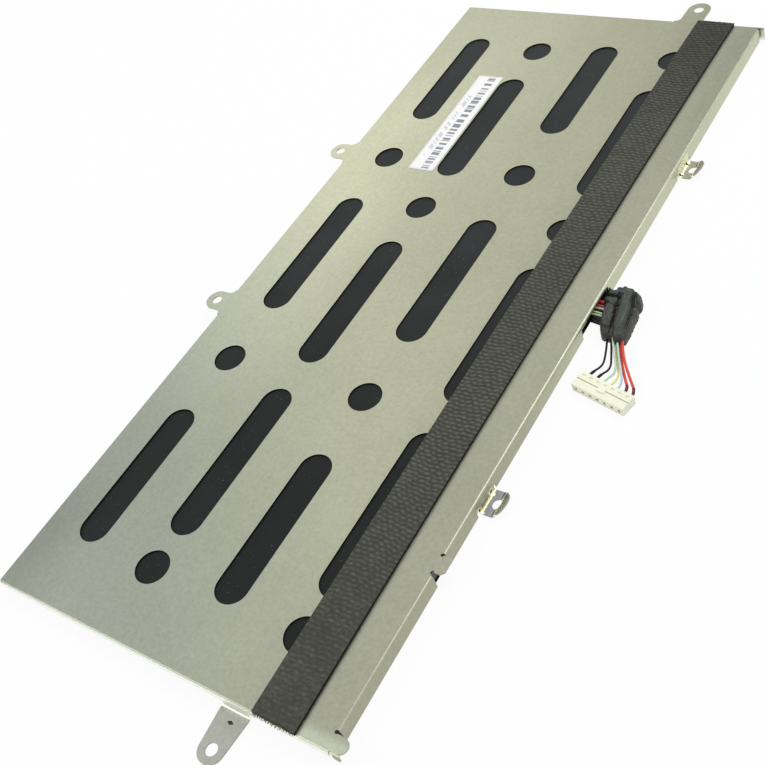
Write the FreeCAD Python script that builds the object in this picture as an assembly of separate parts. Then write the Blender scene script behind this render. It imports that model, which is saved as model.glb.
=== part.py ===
import FreeCAD, Part
import math
import os

Vector = FreeCAD.Vector

# A flat battery pack for a thin portable computer: a folded metal tray, lying plate up,
# with two sealed pouch cells, a protection board and a short taped cable beneath the plate.
# Millimetres. X runs across the pack, Y along it, Z up. The origin lies under the middle
# of the plate, on the plane that the pack rests on.

# Layers, from the bench upwards
cover_film_thickness = 0.15
cell_thickness = 3.4
glue_thickness = 0.1
slot_film_thickness = 0.15
sheet = 0.4
strip_thickness = 0.9
label_thickness = 0.1

# Tray
plate_width = 97.4
plate_near_end = 116.1
plate_far_end = 115.5
far_edge_turn = -2.1
outer_bend = 0.6
near_lip = 1.7
lip_slit = 0.25
skirt_lift = 0.2
foot_bend = 0.6
relief_radius = 0.45

# Slots and round holes in the plate, laid out in four columns
hole_radius = 4.3
slot_width = 8.4
column_pitch = 21.6
first_column_x = -34.5
pattern_y = 0.6
outer_slot_length = 41.0
middle_slot_length = 44.6
outer_slot_y = 79.1
near_hole_y = 40.6
even_hole_places = (95.0, 22.9, -98.6)
even_slot_places = (58.7, -13.4, -67.2)

# Screw tabs
tab_hole_radius = 1.4
left_tab_places = (-23.2, 41.1)
left_tab_width = 6.4
left_tab_reach = 3.6
top_tab_x = 28.0
top_tab_width = 6.8
top_tab_reach = 6.13
tab_flare = 1.6
flange_slit = 0.5
bottom_tab_x = 24.4
bottom_tab_width = 7.4
bottom_tab_reach = 8.7
bottom_tab_end_radius = 3.1
bottom_tab_root = 0.6
dimple_radius = 0.45
dimple_offset = (0.35, 1.45)
dimple_depth = 0.3
bracket_places = (-54.2, 55.8)
bracket_width = 6.6
bracket_reach = 2.7
bracket_tip_angle = 38.0

# Flange details on the right side
window_low_y = -5.8
window_high_y = 9.0
window_top_gap = 0.9
window_tape_thickness = 0.15
window_tape_rim = 0.7
window_tape_lap = 2.5
window_tape_drop = 0.5
lug_low_y = -75.4
lug_high_y = -71.0
lug_gap = 0.8
lug_slit = 0.3
lug_corner = 0.9
lug_reach = 1.9
ear_height = 4.0
ear_reach = 3.2
ear_radius = 1.7
ear_flange_reach = 2.4
far_ear_reach = 1.1
far_ear_height = 0.8

# Cloth strip and label on the plate
strip_width = 10.8
strip_near_x = 35.5
strip_far_x = 35.85
strip_bow = 0.85
strip_end_gap = 0.3
strip_edge_chamfer = 0.25
label_width = 9.2
label_length = 43.9
label_x = -21.2
label_y = 59.9

# Cells
film_margin = 0.5
cell_side_gap = 0.8
cell_end_gap = 0.6
terrace_length = 4.0
terrace_thickness = 0.4
seal_height = 2.4
seal_thickness = 0.25
cell_edge_radius = 0.9
glue_margin = 6.0
glue_width = 30.0

# Cell tabs and links
tab_strip_width = 5.0
tab_strip_thickness = 0.15
near_tab_x = 10.0
far_tab_from_end = 12.0
tab_end_gap = 1.6
link_height = 4.4

# Protection board and its parts
board_width = 84.0
board_height = 9.6
board_thickness = 0.8
board_y = 0.8
board_cell_gap = 0.4
board_pad_thickness = 0.5
board_pad_margin = 1.2
tallest_part = 1.1
board_tape_thickness = 0.1
board_tape_overhang = 0.3
board_chamfer = 0.5
film_gap_margin = 0.3
film_bridge = 16.0
transistor_size = (3.8, 3.4)
transistor_from_end = (23.0, 18.0)
controller_size = 5.0
controller_height = 0.9
controller_from_end = 22.0
fuse_size = (2.6, 3.2)
fuse_height = 0.7
fuse_from_end = 4.0
resistor_size = (2.4, 5.0)
resistor_height = 0.6
resistor_from_end = 8.0
cutoff_size = (6.4, 3.4)
capacitor_size = (0.8, 1.6)
capacitor_height = 0.75
capacitor_pitch = 2.0
capacitor_count = 4
capacitor_first_x = -4.0
capacitor_edge = 1.4

# Wires, from the board to the plug
thin_wire = 0.5
thick_wire = 0.65
wire_pitch = 1.05
wire_row_y = 1.9
joint_end_gap = 3.3
joint_length = 2.3
joint_width = 0.84
joint_cover = 0.1
wrap_clearance = 0.03
wire_lead = 4.4
plug_lead = 1.6

# Plug
way_count = 7
way_pitch = 2.0
plug_end_wall = 0.1
plug_depth = 4.3
plug_back_height = 2.6
plug_front_height = 2.4
plug_step_depth = 2.1
plug_front_centre = Vector(59.6, -22.2, 0)
plug_turn = -14.2
way_height = 1.1
way_opening = 0.8
wire_entry = 0.8
boss_width = 1.9
boss_depth = 1.7
boss_rise = 0.15
lance_window = (0.9, 0.6)
lance_window_from_back = 0.7
lance_window_depth = 0.25
terminal_wall = 0.1
terminal_clearance = 0.02
terminal_setback = 0.4
crimp_length = 1.2

# Places on the board worked out from its ends
board_end = board_width / 2
far_tab_x = board_end - far_tab_from_end
transistor_places = [board_end - gap for gap in transistor_from_end]
controller_x = controller_from_end - board_end
fuse_x = fuse_from_end - board_end
resistor_x = board_end - resistor_from_end
wire_start_x = board_end - joint_end_gap
joint_start_x = wire_start_x - joint_length

# Levels worked out from the layers
cell_top = cover_film_thickness + cell_thickness
glue_top = cell_top + glue_thickness
plate_bottom = glue_top + slot_film_thickness
plate_top = plate_bottom + sheet
foot_top = skirt_lift + sheet
board_top = glue_top - board_pad_thickness
board_bottom = board_top - board_thickness
part_floor = board_bottom - tallest_part

# Outlines worked out from the tray, whose far edge isn't quite square to its sides
half_width = plate_width / 2
inner_width = half_width - sheet
bend_x = half_width - outer_bend
near_bend_y = plate_near_end - outer_bend
far_slope = math.tan(math.radians(far_edge_turn))
inner_near_y = plate_near_end - sheet
inner_far_y = plate_far_end + half_width * far_slope - sheet


def box(x0, x1, y0, y1, z0, z1):
    return Part.makeBox(x1 - x0, y1 - y0, z1 - z0, Vector(x0, y0, z0))


def column(radius, x, y, z0, z1):
    return Part.makeCylinder(radius, z1 - z0, Vector(x, y, z0))


def through(radius, x, y):
    return column(radius, x, y, -1, plate_top + 1)


def joined(shapes):
    first = shapes[0]
    return first.multiFuse(shapes[1:]).removeSplitter()


def prism(points, height):
    face = Part.Face(Part.makePolygon([Vector(*p) for p in points] + [Vector(*points[0])]))
    return face.extrude(Vector(0, 0, height))


# A flange is a profile across the bend, run along the side and turned to face outwards.
side_turns = {"right": 0, "top": 90, "left": 180, "bottom": -90}


side_reach = {"right": half_width, "top": plate_far_end, "left": half_width, "bottom": plate_near_end}


def far_edge_y(x):
    return plate_far_end + x * far_slope


def far_bend_y(x):
    return far_edge_y(x) - outer_bend / math.cos(math.radians(far_edge_turn))


def far_turned(solid):
    # What is made square at the far end is turned with the far edge.
    solid.rotate(Vector(0, plate_far_end, 0), Vector(0, 0, 1), far_edge_turn)
    return solid


def run_along(side, profile, start, end):
    flipped = side in ("left", "top")
    low = -end if flipped else start
    solid = profile.extrude(Vector(0, end - start, 0))
    solid.translate(Vector(side_reach[side], low, 0))
    solid.rotate(Vector(0, 0, 0), Vector(0, 0, 1), side_turns[side])
    return solid


def closed_profile(steps):
    # Each step is a point to go to, or a middle and an end point of an arc.
    edges = []
    here = steps[0]
    for step in steps[1:]:
        if len(step) == 2:
            edges.append(Part.LineSegment(Vector(here[0], 0, here[1]), Vector(step[0], 0, step[1])).toShape())
            here = step
        else:
            middle = Vector(step[0], 0, step[1])
            end = Vector(step[2], 0, step[3])
            edges.append(Part.Arc(Vector(here[0], 0, here[1]), middle, end).toShape())
            here = (step[2], step[3])
    return Part.Face(Part.Wire(edges))


def arc_middle(centre, radius, degrees):
    angle = math.radians(degrees)
    return centre[0] + radius * math.cos(angle), centre[1] + radius * math.sin(angle)


top_bend_centre = (-outer_bend, plate_top - outer_bend)
outer_crown = arc_middle(top_bend_centre, outer_bend, 45)
inner_crown = arc_middle(top_bend_centre, outer_bend - sheet, 45)


def flange_profile(edge_level):
    return closed_profile([
        (-outer_bend, plate_top),
        (outer_crown[0], outer_crown[1], 0, plate_top - outer_bend),
        (0, edge_level),
        (-sheet, edge_level),
        (-sheet, plate_top - outer_bend),
        (inner_crown[0], inner_crown[1], -outer_bend, plate_bottom),
        (-outer_bend, plate_top),
    ])


def foot_profile(reach):
    # The flange turns outwards again at its lower edge and becomes a foot.
    centre = (foot_bend, foot_top + foot_bend)
    near = arc_middle(centre, foot_bend, 225)
    far = arc_middle(centre, foot_bend + sheet, 225)
    return closed_profile([
        (-outer_bend, plate_top),
        (outer_crown[0], outer_crown[1], 0, plate_top - outer_bend),
        (0, foot_top + foot_bend),
        (near[0], near[1], foot_bend, foot_top),
        (reach, foot_top),
        (reach, skirt_lift),
        (foot_bend, skirt_lift),
        (far[0], far[1], -sheet, foot_top + foot_bend),
        (-sheet, plate_top - outer_bend),
        (inner_crown[0], inner_crown[1], -outer_bend, plate_bottom),
        (-outer_bend, plate_top),
    ])


def slot_cutter(x, y, length):
    straight = (length - slot_width) / 2
    end_radius = slot_width / 2
    low = plate_bottom - 0.1
    high = plate_top + 0.1
    return joined([
        box(x - end_radius, x + end_radius, y - straight, y + straight, low, high),
        column(end_radius, x, y - straight, low, high),
        column(end_radius, x, y + straight, low, high),
    ])


def plate_openings():
    cutters = []
    for index in range(4):
        x = first_column_x + index * column_pitch
        if index % 2 == 0:
            for side in (-1, 1):
                cutters.append(slot_cutter(x, pattern_y + side * outer_slot_y, outer_slot_length))
                cutters.append(through(hole_radius, x, pattern_y + side * near_hole_y))
            cutters.append(slot_cutter(x, pattern_y, middle_slot_length))
        else:
            for y in even_slot_places:
                cutters.append(slot_cutter(x, pattern_y + y, middle_slot_length))
            for y in even_hole_places:
                cutters.append(through(hole_radius, x, pattern_y + y))
    return cutters


def side_solid(side, solid):
    # Modelled at the right side about y = 0, then turned to the side it belongs to.
    solid.translate(Vector(side_reach[side], 0, 0))
    solid.rotate(Vector(0, 0, 0), Vector(0, 0, 1), side_turns[side])
    return solid


def flat_tab(side, place, width, reach):
    # A tab in the plane of the plate, with flared roots and a round end about its hole.
    half = width / 2
    flipped = side in ("left", "top")
    along = -place if flipped else place
    spread = half + tab_flare
    tab = joined([
        box(-outer_bend, reach, -half, half, plate_bottom, plate_top),
        box(-outer_bend, tab_flare, -spread, spread, plate_bottom, plate_top),
        column(half, reach, 0, plate_bottom, plate_top),
    ])
    cutters = [column(tab_hole_radius, reach, 0, plate_bottom - 1, plate_top + 1)]
    for way in (-1, 1):
        cutters.append(column(tab_flare, tab_flare, way * spread, plate_bottom - 1, plate_top + 1))
    tab = tab.cut(joined(cutters[1:])).cut(cutters[0])
    tab.translate(Vector(0, along, 0))
    return side_solid(side, tab)


def flange_gap(side, place, width):
    # The flange stops a slit's width short of a tab on each side.
    flipped = side in ("left", "top")
    along = -place if flipped else place
    half = width / 2 + tab_flare + flange_slit
    gap = box(-outer_bend, 1, along - half, along + half, -1, plate_top + 1)
    return side_solid(side, gap)


def bottom_tab():
    half = bottom_tab_width / 2
    foot_length = foot_bend + bottom_tab_root
    foot = run_along("bottom", foot_profile(foot_length), bottom_tab_x - half, bottom_tab_x + half)
    root_y = -plate_near_end - foot_length
    end_y = -plate_near_end - bottom_tab_reach
    tongue = prism([
        (bottom_tab_x - half, root_y, skirt_lift),
        (bottom_tab_x - bottom_tab_end_radius, end_y, skirt_lift),
        (bottom_tab_x + bottom_tab_end_radius, end_y, skirt_lift),
        (bottom_tab_x + half, root_y, skirt_lift),
    ], sheet)
    end = column(bottom_tab_end_radius, bottom_tab_x, end_y, skirt_lift, foot_top)
    hole = through(tab_hole_radius, bottom_tab_x, end_y)
    dimple_centre = Vector(bottom_tab_x + dimple_offset[0], root_y - dimple_offset[1],
                           foot_top + dimple_radius - dimple_depth)
    dimple = Part.makeSphere(dimple_radius, dimple_centre)
    return joined([foot, tongue, end]).cut(hole).cut(dimple)


def bracket(place):
    # A short foot on the right flange. Its outer half, beyond the middle of the hole, turns up.
    half = bracket_width / 2
    fold_x = half_width + bracket_reach
    foot = run_along("right", foot_profile(bracket_reach), place - half, place + half)
    disc = column(half, fold_x, place, skirt_lift, foot_top)
    keep = box(fold_x, fold_x + half + 1, place - half, place + half, 0, plate_top)
    hole = through(tab_hole_radius, fold_x, place)
    tip = disc.common(keep).cut(hole)
    tip.rotate(Vector(fold_x, place, skirt_lift), Vector(0, 1, 0), -bracket_tip_angle)
    return joined([foot.cut(hole), tip])


def near_ear():
    # The plate's near corner reaches past the bend of the right flange, with a round end.
    low_y = -near_bend_y
    high_y = ear_height - plate_near_end
    corner_x = half_width + ear_reach - ear_radius
    root = box(bend_x, corner_x, low_y, high_y, plate_bottom, plate_top)
    rounded = column(ear_radius, corner_x, high_y - ear_radius, plate_bottom, plate_top)
    return root.fuse(rounded)


def far_ear():
    low_y = plate_far_end - far_ear_height
    ear = box(bend_x, half_width + far_ear_reach, low_y, plate_far_end - outer_bend, plate_bottom, plate_top)
    return far_turned(ear)


def plate_blank():
    return prism([
        (-bend_x, -near_bend_y, plate_bottom),
        (bend_x, -near_bend_y, plate_bottom),
        (bend_x, far_bend_y(bend_x), plate_bottom),
        (-bend_x, far_bend_y(-bend_x), plate_bottom),
    ], sheet)


def make_tray():
    ear_x = half_width + ear_flange_reach
    far_ear_x = half_width + far_ear_reach
    low_end = -plate_near_end + ear_height + flange_slit
    high_end = far_edge_y(half_width) - far_ear_height - flange_slit
    solids = [plate_blank()]
    skirt = flange_profile(skirt_lift)
    lip = flange_profile(plate_top - near_lip)
    flanges = joined([
        run_along("right", skirt, low_end, high_end),
        run_along("left", skirt, -near_bend_y, far_bend_y(-bend_x)),
        far_turned(run_along("top", skirt, -bend_x, far_ear_x)),
        run_along("bottom", lip, -bend_x, ear_x),
    ])
    gaps = [far_turned(flange_gap("top", top_tab_x, top_tab_width))]
    for place in left_tab_places:
        gaps.append(flange_gap("left", place, left_tab_width))
    lug_end = lug_high_y + lug_slit
    gaps.append(box(bend_x, half_width + 1, lug_low_y - lug_gap, lug_end, -1, plate_top + 1))
    window_top = plate_top - window_top_gap
    gaps.append(box(bend_x, half_width + 1, window_low_y, window_high_y, -1, window_top))
    tab_gap = bottom_tab_width / 2
    lip_gaps = ((bottom_tab_x - tab_gap, bottom_tab_x + tab_gap), (half_width, half_width + lip_slit))
    for low, high in lip_gaps:
        gaps.append(box(low, high, -plate_near_end - 1, -near_bend_y, -1, plate_top + 1))
    bracket_gap = bracket_width / 2
    notch_top = foot_top + foot_bend
    for place in bracket_places:
        gaps.append(box(bend_x, half_width + 1, place - bracket_gap, place + bracket_gap, -1, plate_top + 1))
        for way in (-1, 1):
            edge_y = place + way * (bracket_gap + relief_radius)
            notch_ends = (edge_y - relief_radius, edge_y + relief_radius)
            gaps.append(box(bend_x, half_width + 1, notch_ends[0], notch_ends[1], -1, notch_top))
            notch = Part.makeCylinder(relief_radius, 2, Vector(bend_x, edge_y, notch_top), Vector(1, 0, 0))
            gaps.append(notch)
    solids.append(flanges.cut(joined(gaps)))
    for place in left_tab_places:
        solids.append(flat_tab("left", place, left_tab_width, left_tab_reach))
    solids.append(far_turned(flat_tab("top", top_tab_x, top_tab_width, top_tab_reach)))
    solids.append(bottom_tab())
    for place in bracket_places:
        solids.append(bracket(place))
    lug_out = half_width + lug_reach
    solids.append(prism([
        (bend_x, lug_low_y, plate_bottom),
        (lug_out - lug_corner, lug_low_y, plate_bottom),
        (lug_out, lug_low_y + lug_corner, plate_bottom),
        (lug_out, lug_high_y, plate_bottom),
        (bend_x, lug_high_y, plate_bottom),
    ], sheet))
    solids.append(near_ear())
    solids.append(far_ear())
    tray = joined(solids)
    reliefs = [through(relief_radius, bend_x, lug_high_y), through(relief_radius, bend_x, lug_low_y)]
    reliefs.append(through(relief_radius, bend_x, -plate_near_end + ear_height + flange_slit / 2))
    tray = tray.cut(joined(reliefs))
    for cutter in plate_openings():
        tray = tray.cut(cutter)
    return tray


def make_cloth_strip():
    # Laid by hand, it bows a little towards the middle of the plate.
    near_y = strip_end_gap - plate_near_end
    bow_x = (strip_near_x + strip_far_x) / 2 - strip_bow
    sides = []
    for way in (-1, 1):
        offset = way * strip_width / 2
        far_x = strip_far_x + offset
        far_y = far_edge_y(far_x) - strip_end_gap
        ends = (Vector(strip_near_x + offset, near_y, plate_top), Vector(far_x, far_y, plate_top))
        sides.append((ends, Part.Arc(ends[0], Vector(bow_x + offset, 0, plate_top), ends[1]).toShape()))
    near_end = Part.makeLine(sides[0][0][0], sides[1][0][0])
    far_end = Part.makeLine(sides[0][0][1], sides[1][0][1])
    outline = Part.Wire([sides[0][1], far_end, sides[1][1], near_end])
    strip = Part.Face(outline).extrude(Vector(0, 0, strip_thickness))
    top = plate_top + strip_thickness
    edges = [e for e in strip.Edges if abs(e.BoundBox.ZMin - top) < 0.01 and e.Length > strip_width + 1]
    return strip.makeChamfer(strip_edge_chamfer, edges)


def make_label():
    return box(
        label_x - label_width / 2, label_x + label_width / 2,
        label_y - label_length / 2, label_y + label_length / 2,
        plate_top, plate_top + label_thickness)


def film(low, high):
    x = inner_width - film_margin
    return box(-x, x, film_margin - inner_near_y, inner_far_y - film_margin, low, high)


# The cells lie nose to nose, with the board across the pack between their terraces.
cell_half = inner_width - cell_side_gap
cell_far_ends = {-1: inner_near_y - cell_end_gap, 1: inner_far_y - cell_end_gap}
terrace_end = abs(board_y) + board_height / 2 + board_cell_gap
cell_near_y = terrace_end + terrace_length
terrace_mid = board_bottom - tab_strip_thickness / 2


def make_cell(side):
    low, high = sorted((side * cell_near_y, side * cell_far_ends[side]))
    body = box(-cell_half, cell_half, low, high, cover_film_thickness, cell_top)
    uprights = [e for e in body.Edges if abs(e.Length - cell_thickness) < 0.01]
    body = body.makeFillet(cell_edge_radius, uprights)
    terrace_ends = sorted((side * terrace_end, side * cell_near_y))
    terrace = box(
        -cell_half + cell_edge_radius, cell_half - cell_edge_radius, terrace_ends[0], terrace_ends[1],
        terrace_mid - terrace_thickness / 2, terrace_mid + terrace_thickness / 2)
    seals = []
    for way in (-1, 1):
        x0, x1 = sorted((way * cell_half, way * (cell_half + seal_thickness)))
        seals.append(box(
            x0, x1, low + cell_edge_radius, high - cell_edge_radius,
            cell_top - seal_height, cell_top))
    return joined([body, terrace] + seals)


def make_glue(side):
    strips = []
    low, high = sorted((side * (cell_near_y + glue_margin), side * (cell_far_ends[side] - glue_margin)))
    for way in (-1, 1):
        x0, x1 = sorted((way * (cell_half - glue_margin), way * (cell_half - glue_margin - glue_width)))
        strips.append(box(x0, x1, low, high, cell_top, glue_top))
    return Part.makeCompound(strips)


def make_cell_tab(x, side):
    y0, y1 = sorted((side * terrace_end, side * tab_end_gap / 2 + board_y))
    half = tab_strip_width / 2
    return box(x - half, x + half, y0, y1, board_bottom - tab_strip_thickness, board_bottom)


link_top = board_bottom - tab_strip_thickness


def make_series_link():
    reach = near_tab_x + tab_strip_width / 2
    y0 = board_y - link_height / 2
    y1 = board_y + link_height / 2
    return box(-reach, reach, y0, y1, link_top - tab_strip_thickness, link_top)


def make_board():
    x = board_width / 2
    y = board_height / 2
    board = box(-x, x, board_y - y, board_y + y, board_bottom, board_top)
    uprights = [e for e in board.Edges if abs(e.Length - board_thickness) < 0.01]
    return board.makeChamfer(board_chamfer, uprights)


def make_board_pad():
    x = board_width / 2 - board_pad_margin
    y = board_height / 2 - board_pad_margin
    return box(-x, x, board_y - y, board_y + y, board_top, glue_top)


def chip(x, y, size, height, ceiling=board_bottom):
    half_x = size[0] / 2
    half_y = size[1] / 2
    return box(x - half_x, x + half_x, y - half_y, y + half_y, ceiling - height, ceiling)


def make_transistors():
    chips = [chip(x, board_y, transistor_size, tallest_part) for x in transistor_places]
    return Part.makeCompound(chips)


def make_controller():
    return chip(controller_x, board_y, (controller_size, controller_size), controller_height)


def make_capacitors():
    row = board_y - board_height / 2 + capacitor_edge
    chips = []
    for index in range(capacitor_count):
        x = capacitor_first_x + index * capacitor_pitch
        chips.append(chip(x, row, capacitor_size, capacitor_height))
    return Part.makeCompound(chips)


def make_thermal_cutoff():
    # It lies on the first cell's far tab and breaks the current when that gets hot.
    height = link_top - part_floor
    y = board_y - tab_end_gap - cutoff_size[1] / 2
    return chip(-far_tab_x, y, cutoff_size, height, link_top)


def make_board_tape():
    x = board_width / 2 - board_tape_overhang
    y = board_height / 2 + board_tape_overhang
    return box(-x, x, board_y - y, board_y + y, part_floor - board_tape_thickness, part_floor)


def make_cover_film():
    gap_x = board_width / 2 + film_gap_margin
    gap_y = board_height / 2 + board_tape_overhang + film_gap_margin
    gap = box(-gap_x, gap_x, board_y - gap_y, board_y + gap_y, -1, 1)
    bridge = box(-film_bridge / 2, film_bridge / 2, board_y - gap_y, board_y + gap_y, -1, 1)
    return film(0, cover_film_thickness).cut(gap.cut(bridge))


# Wires are numbered from the low end of the row: two black, three thin coloured, two red.
# Each has its route by hand: out of the window, round inside the wrap, and on to the plug.
wire_names = ("black_1", "black_2", "green", "yellow", "blue", "red_1", "red_2")
wire_sizes = (thin_wire, thin_wire, thin_wire, thin_wire, thin_wire, thick_wire, thick_wire)
plug_angle = math.radians(plug_turn)
plug_along = Vector(math.cos(plug_angle), math.sin(plug_angle), 0)
plug_inward = Vector(-math.sin(plug_angle), math.cos(plug_angle), 0)


def way_offset(index):
    return (index - (way_count - 1) / 2) * way_pitch


def wire_row(index):
    return wire_row_y + (index - (way_count - 1) / 2) * wire_pitch


# Chosen points between the board and the plug, as (x, y, z)
wire_turns = (
    ((49.3, -1.1, 1.6), (52.8, -1.5, 1.0), (54.5, -5.3, 1.0), (56.0, -9.4, 1.3), (56.9, -12.9, 1.4)),
    ((49.3, -0.1, 1.6), (53.3, -0.4, 1.0), (55.2, -4.6, 1.0), (57.3, -9.2, 1.2), (59.0, -13.3, 1.4)),
    ((49.3, 0.9, 1.9), (53.4, 0.7, 1.8), (55.4, -4.1, 1.8), (58.1, -9.3, 1.9), (60.7, -14.0, 1.6)),
    ((49.3, 1.9, 1.6), (53.8, 1.7, 1.0), (55.8, -3.6, 1.0), (58.7, -9.6, 1.1), (61.5, -14.5, 1.2)),
    ((49.3, 3.0, 1.9), (54.0, 2.8, 1.8), (56.0, -3.0, 1.8), (59.2, -9.5, 1.9), (62.3, -14.6, 1.8)),
    ((49.3, 4.1, 1.5), (54.4, 3.9, 1.0), (56.5, -2.6, 1.0), (59.8, -9.7, 1.1), (63.2, -15.1, 1.2)),
    ((49.3, 5.1, 1.9), (54.7, 5.0, 1.8), (56.9, -2.0, 1.8), (60.3, -9.5, 1.9), (64.4, -15.0, 1.6)),
)


def wire_route(index):
    radius = wire_sizes[index] / 2
    start = Vector(wire_start_x, wire_row(index), board_bottom - radius)
    lead = start + Vector(wire_lead, 0, 0)
    way = plug_front_centre + plug_along * way_offset(index) + Vector(0, 0, way_height)
    entry = way + plug_inward * (plug_depth + plug_lead)
    end = way + plug_inward * (plug_depth - wire_entry)
    return [start, lead] + [Vector(*p) for p in wire_turns[index]] + [entry, end]


def cord_path(points):
    # Straight runs joined by tangent arcs, each as large as its two runs allow.
    edges = []
    radii = []
    here = points[0]
    for before, corner, after in zip(points, points[1:], points[2:]):
        into = corner - before
        out = after - corner
        short = min(into.Length, out.Length)
        into.normalize()
        out.normalize()
        half_turn = math.acos(max(-1, min(1, into.dot(out)))) / 2
        setback = 0.45 * short
        radius = setback / math.tan(half_turn)
        radii.append(radius)
        arc_start = corner - into * setback
        arc_end = corner + out * setback
        inward = out - into
        inward.normalize()
        middle = corner + inward * (radius / math.cos(half_turn) - radius)
        edges.append(Part.LineSegment(here, arc_start).toShape())
        edges.append(Part.Arc(arc_start, middle, arc_end).toShape())
        here = arc_end
    edges.append(Part.LineSegment(here, points[-1]).toShape())
    return Part.Wire(edges), radii


def tube(points, diameter):
    path, radii = cord_path(points)
    direction = points[1] - points[0]
    section = Part.Wire([Part.Circle(points[0], direction, diameter / 2).toShape()])
    solid = path.makePipeShell([section], True, False)
    return solid, path.Length, radii


def make_wire(index):
    solid, length, radii = tube(wire_route(index), wire_sizes[index])
    ideal = math.pi * wire_sizes[index] ** 2 / 4 * length
    print("wire", wire_names[index], "length", round(length, 2), "volume over ideal",
          round(solid.Volume / ideal, 4), "radii", [round(r, 1) for r in radii])
    return solid


def make_solder_joints():
    joints = []
    for index in range(way_count):
        y = wire_row(index)
        half = joint_width / 2
        low = board_bottom - wire_sizes[index] - joint_cover
        joints.append(box(joint_start_x, wire_start_x, y - half, y + half, low, board_bottom))
    return Part.makeCompound(joints)


# The tape wrap is wound round the wires where they turn, and folded flat on itself.
wrap_foot = ((50.5, 9.6), (51.0, 0.8), (51.3, -0.8), (52.3, -3.8), (53.2, -5.0), (54.8, -5.6),
             (59.3, -5.8), (58.8, 2.9), (58.2, 5.8), (56.8, 8.0), (54.2, 9.8), (51.6, 10.2))
wrap_belly = ((49.9, 8.3), (50.5, 1.6), (50.9, -0.6), (51.9, -4.1), (53.0, -5.5), (54.6, -6.3),
              (60.0, -6.6), (59.5, 2.0), (59.0, 4.9), (57.4, 7.4), (54.4, 9.3), (51.3, 9.8))
wrap_crown = ((52.6, 7.6), (53.9, 3.4), (54.2, 1.0), (54.9, -2.2), (55.7, -4.8), (56.4, -6.3),
              (58.8, -6.5), (58.2, -1.6), (57.7, 1.8), (56.6, 4.8), (55.0, 7.0), (53.8, 7.9))
wrap_levels = (0.05, 2.2, 4.0)


def make_tape_wrap():
    rings = []
    for outline, level in zip((wrap_foot, wrap_belly, wrap_crown), wrap_levels):
        points = [Vector(x, y, level) for x, y in outline]
        rings.append(Part.makePolygon(points + [points[0]]))
    body = Part.makeLoft(rings, True, True)
    for index in range(way_count):
        passage, _, _ = tube(wire_route(index), wire_sizes[index] + 2 * wrap_clearance)
        body = body.cut(passage)
    return body


def place_plug(solid):
    solid.rotate(Vector(0, 0, 0), Vector(0, 0, 1), plug_turn)
    solid.translate(plug_front_centre)
    return solid


def make_plug_housing():
    # A moulding with a low step across its top, a boss over the step, and a window behind each way.
    half = way_count * way_pitch / 2 + plug_end_wall
    front = box(-half, half, 0, plug_depth, 0, plug_front_height)
    back = box(-half, half, plug_step_depth, plug_depth, 0, plug_back_height)
    boss = box(-boss_width / 2, boss_width / 2, plug_step_depth - boss_depth / 2,
               plug_step_depth + boss_depth / 2, 0, plug_back_height + boss_rise)
    housing = joined([front, back, boss])
    opening = way_opening / 2
    window_half = lance_window[0] / 2
    window_y = plug_depth - lance_window_from_back
    window_floor = plug_back_height - lance_window_depth
    for index in range(way_count):
        x = way_offset(index)
        slot = box(x - opening, x + opening, -1, plug_depth + 1, way_height - opening, way_height + opening)
        window = box(x - window_half, x + window_half, window_y - lance_window[1], window_y,
                     window_floor, plug_back_height + 1)
        housing = housing.cut(slot).cut(window)
    return place_plug(housing)


def make_plug_terminals():
    half = way_opening / 2 - terminal_clearance
    core = half - terminal_wall
    back = plug_depth - wire_entry
    terminals = []
    for index in range(way_count):
        x = way_offset(index)
        shell = box(x - half, x + half, terminal_setback, back, way_height - half, way_height + half)
        hollow = box(x - core, x + core, 0, back - crimp_length, way_height - core, way_height + core)
        terminals.append(shell.cut(hollow))
    return place_plug(Part.makeCompound(terminals))


def make_window_tape():
    # Black tape inside the flange, with a smaller opening than the window for the wires.
    low = window_low_y - window_tape_lap
    high = window_high_y + window_tape_lap
    tape = box(inner_width - window_tape_thickness, inner_width, low, high,
               foot_top, plate_bottom - window_tape_drop)
    opening_top = plate_top - window_top_gap - window_tape_rim / 2
    opening = box(inner_width - 1, inner_width + 1, window_low_y + window_tape_rim,
                  window_high_y - window_tape_rim, 0, opening_top)
    return tape.cut(opening)


def build():
    parts = {
        "tray": make_tray(),
        "cloth_strip": make_cloth_strip(),
        "barcode_label": make_label(),
        "slot_film": film(glue_top, plate_bottom),
        "cell_1": make_cell(-1),
        "cell_2": make_cell(1),
        "cell_1_glue": make_glue(-1),
        "cell_2_glue": make_glue(1),
        "cell_1_far_tab": make_cell_tab(-far_tab_x, -1),
        "cell_1_near_tab": make_cell_tab(-near_tab_x, -1),
        "cell_2_near_tab": make_cell_tab(near_tab_x, 1),
        "cell_2_far_tab": make_cell_tab(far_tab_x, 1),
        "series_link": make_series_link(),
        "protection_board": make_board(),
        "board_foam_pad": make_board_pad(),
        "switching_transistors": make_transistors(),
        "controller_chip": make_controller(),
        "board_fuse": chip(fuse_x, board_y, fuse_size, fuse_height),
        "sense_resistor": chip(resistor_x, board_y, resistor_size, resistor_height),
        "board_capacitors": make_capacitors(),
        "thermal_cutoff": make_thermal_cutoff(),
        "solder_joints": make_solder_joints(),
        "board_tape": make_board_tape(),
        "cover_film": make_cover_film(),
        "window_tape": make_window_tape(),
        "tape_wrap": make_tape_wrap(),
        "plug_housing": make_plug_housing(),
        "plug_terminals": make_plug_terminals(),
    }
    for index, name in enumerate(wire_names):
        parts["wire_" + name] = make_wire(index)
    os.makedirs("parts", exist_ok=True)
    for name, shape in parts.items():
        shape.exportStep("parts/" + name + ".step")
        print(name, "solids", len(shape.Solids), "volume", round(shape.Volume, 2), "valid", shape.isValid())


build()
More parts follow.
